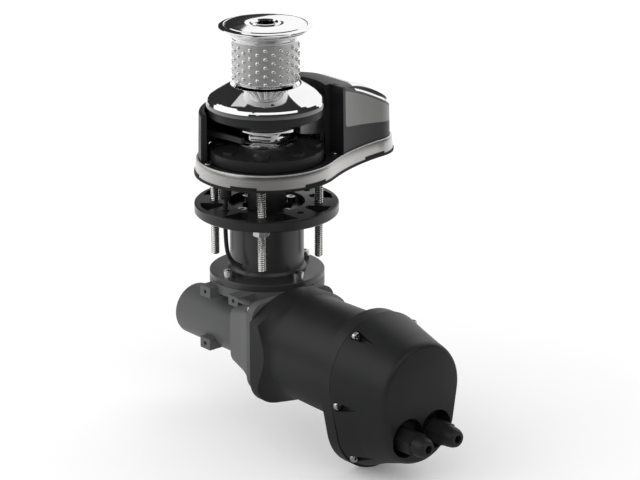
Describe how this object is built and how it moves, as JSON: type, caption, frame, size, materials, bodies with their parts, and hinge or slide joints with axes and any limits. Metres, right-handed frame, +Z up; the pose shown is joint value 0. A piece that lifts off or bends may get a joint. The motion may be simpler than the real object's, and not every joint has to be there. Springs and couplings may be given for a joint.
{
  "type": "vertical anchor windlass",
  "caption": "Vertical anchor windlass with a rope drum and chain wheel above deck, a hawse cover on a pear-shaped base, and a worm gearbox and motor below deck.",
  "frame": {"origin": "main shaft's axis at the top of the deck, which is the underside of the deck gasket", "axes": "+Z up along the main shaft, +X along the base towards the chain pipe, motor along -Y"},
  "size_m": [0.2885, 0.423, 0.4436],
  "materials": {
    "black_rubber": "matt deck gasket rubber",
    "satin_steel": "fine brushed stainless",
    "black_plastic": "fine-grained moulded composite",
    "steel": "bright stainless",
    "black_aluminium": "black powder coat",
    "cable_rubber": "smooth cable sheath",
    "grey_coating": "dark grey powder coat on a casting",
    "bronze": "machined bronze",
    "dark_paint": "black enamel",
    "cast_aluminium": "die-cast aluminium",
    "ferrite": "sintered ferrite",
    "carbon": "copper carbon brush",
    "brass": "plain brass",
    "chrome": "mirror chrome",
    "bead_chrome": "chrome with a satin field between raised bumps",
    "lamination": "varnished laminations and copper windings"
  },
  "bodies": {
    "root": {"adaptor_screws": "steel", "arm_pin": "steel", "base_casting": "satin_steel", "base_gasket": "black_rubber", "base_tray": "black_plastic", "brush_plate": "black_plastic", "brushes": "carbon", "cable_glands": "black_plastic", "cap_gasket": "black_rubber", "cap_screws": "steel", "chain_sensor": "black_plastic", "chain_stripper": "satin_steel", "cover_screws": "steel", "cover_side_panel": "satin_steel", "cover_top_panel": "chrome", "deck_flange": "black_aluminium", "deck_studs": "steel", "drain_plug": "steel", "end_cap": "black_plastic", "field_magnets": "ferrite", "flange_screws": "steel", "foot_screws": "steel", "gearbox_case": "grey_coating", "gland_nuts": "black_plastic", "gland_seals": "black_rubber", "hawse_cover": "black_plastic", "housing_gasket": "black_rubber", "hub_bush": "bronze", "lower_bearing": "steel", "motor_adaptor": "grey_coating", "motor_bearings": "steel", "motor_can": "dark_paint", "motor_cover": "black_plastic", "motor_end_plate": "cast_aluminium", "sensor_cable": "cable_rubber", "shaft_housing": "grey_coating", "stud_nuts": "steel", "stud_washers": "steel", "terminal_posts": "brass", "upper_bearing": "steel", "upper_seal": "black_rubber", "worm_bearings": "steel", "worm_seal": "black_rubber"},
    "arm": {"control_arm": "satin_steel"},
    "worm": {"worm_shaft": "steel", "shaft_coupling": "steel", "armature": "lamination"},
    "shaft": {"main_shaft": "steel", "worm_wheel": "bronze", "shaft_keys": "steel", "shaft_circlips": "steel", "lower_clutch_cone": "bronze", "upper_clutch_cone": "bronze"},
    "gypsy": {"gypsy_lower": "black_plastic", "gypsy_sprocket": "chrome", "gypsy_upper": "black_plastic", "gypsy_dome": "chrome"},
    "drum": {"drum": "bead_chrome", "drum_cap": "chrome"},
    "nut": {"clutch_nut": "chrome"}
  },
  "joints": [
    {"name": "shaft_turn", "type": "hinge", "parent": "root", "child": "shaft", "pos_m": [0, 0, 0], "axis": [0, 0, 1], "continuous": true},
    {"name": "worm_turn", "type": "hinge", "parent": "root", "child": "worm", "pos_m": [-0.04, 0, -0.176], "axis": [0, 1, 0], "continuous": true},
    {"name": "gypsy_turn", "type": "hinge", "parent": "shaft", "child": "gypsy", "pos_m": [0, 0, 0.04], "axis": [0, 0, 1], "continuous": true},
    {"name": "drum_lift", "type": "slide", "parent": "shaft", "child": "drum", "axis": [0, 0, 1], "range_m": [0, 0.0015]},
    {"name": "nut_turn", "type": "hinge", "parent": "drum", "child": "nut", "pos_m": [0, 0, 0.15], "axis": [0, 0, 1], "range_deg": [0, 360]},
    {"name": "arm_swing", "type": "hinge", "parent": "root", "child": "arm", "pos_m": [-0.05362, 0.045, 0.0465], "axis": [0, 0, 1], "range_deg": [-10, 3], "stiffness_Nm_per_rad": 0.05}
  ],
  "couplings": [
    {"joint": "worm_turn", "follows": "shaft_turn", "ratio": 40},
    {"joint": "nut_turn", "follows": "drum_lift", "rad_per_m": 4188.8}
  ]
}
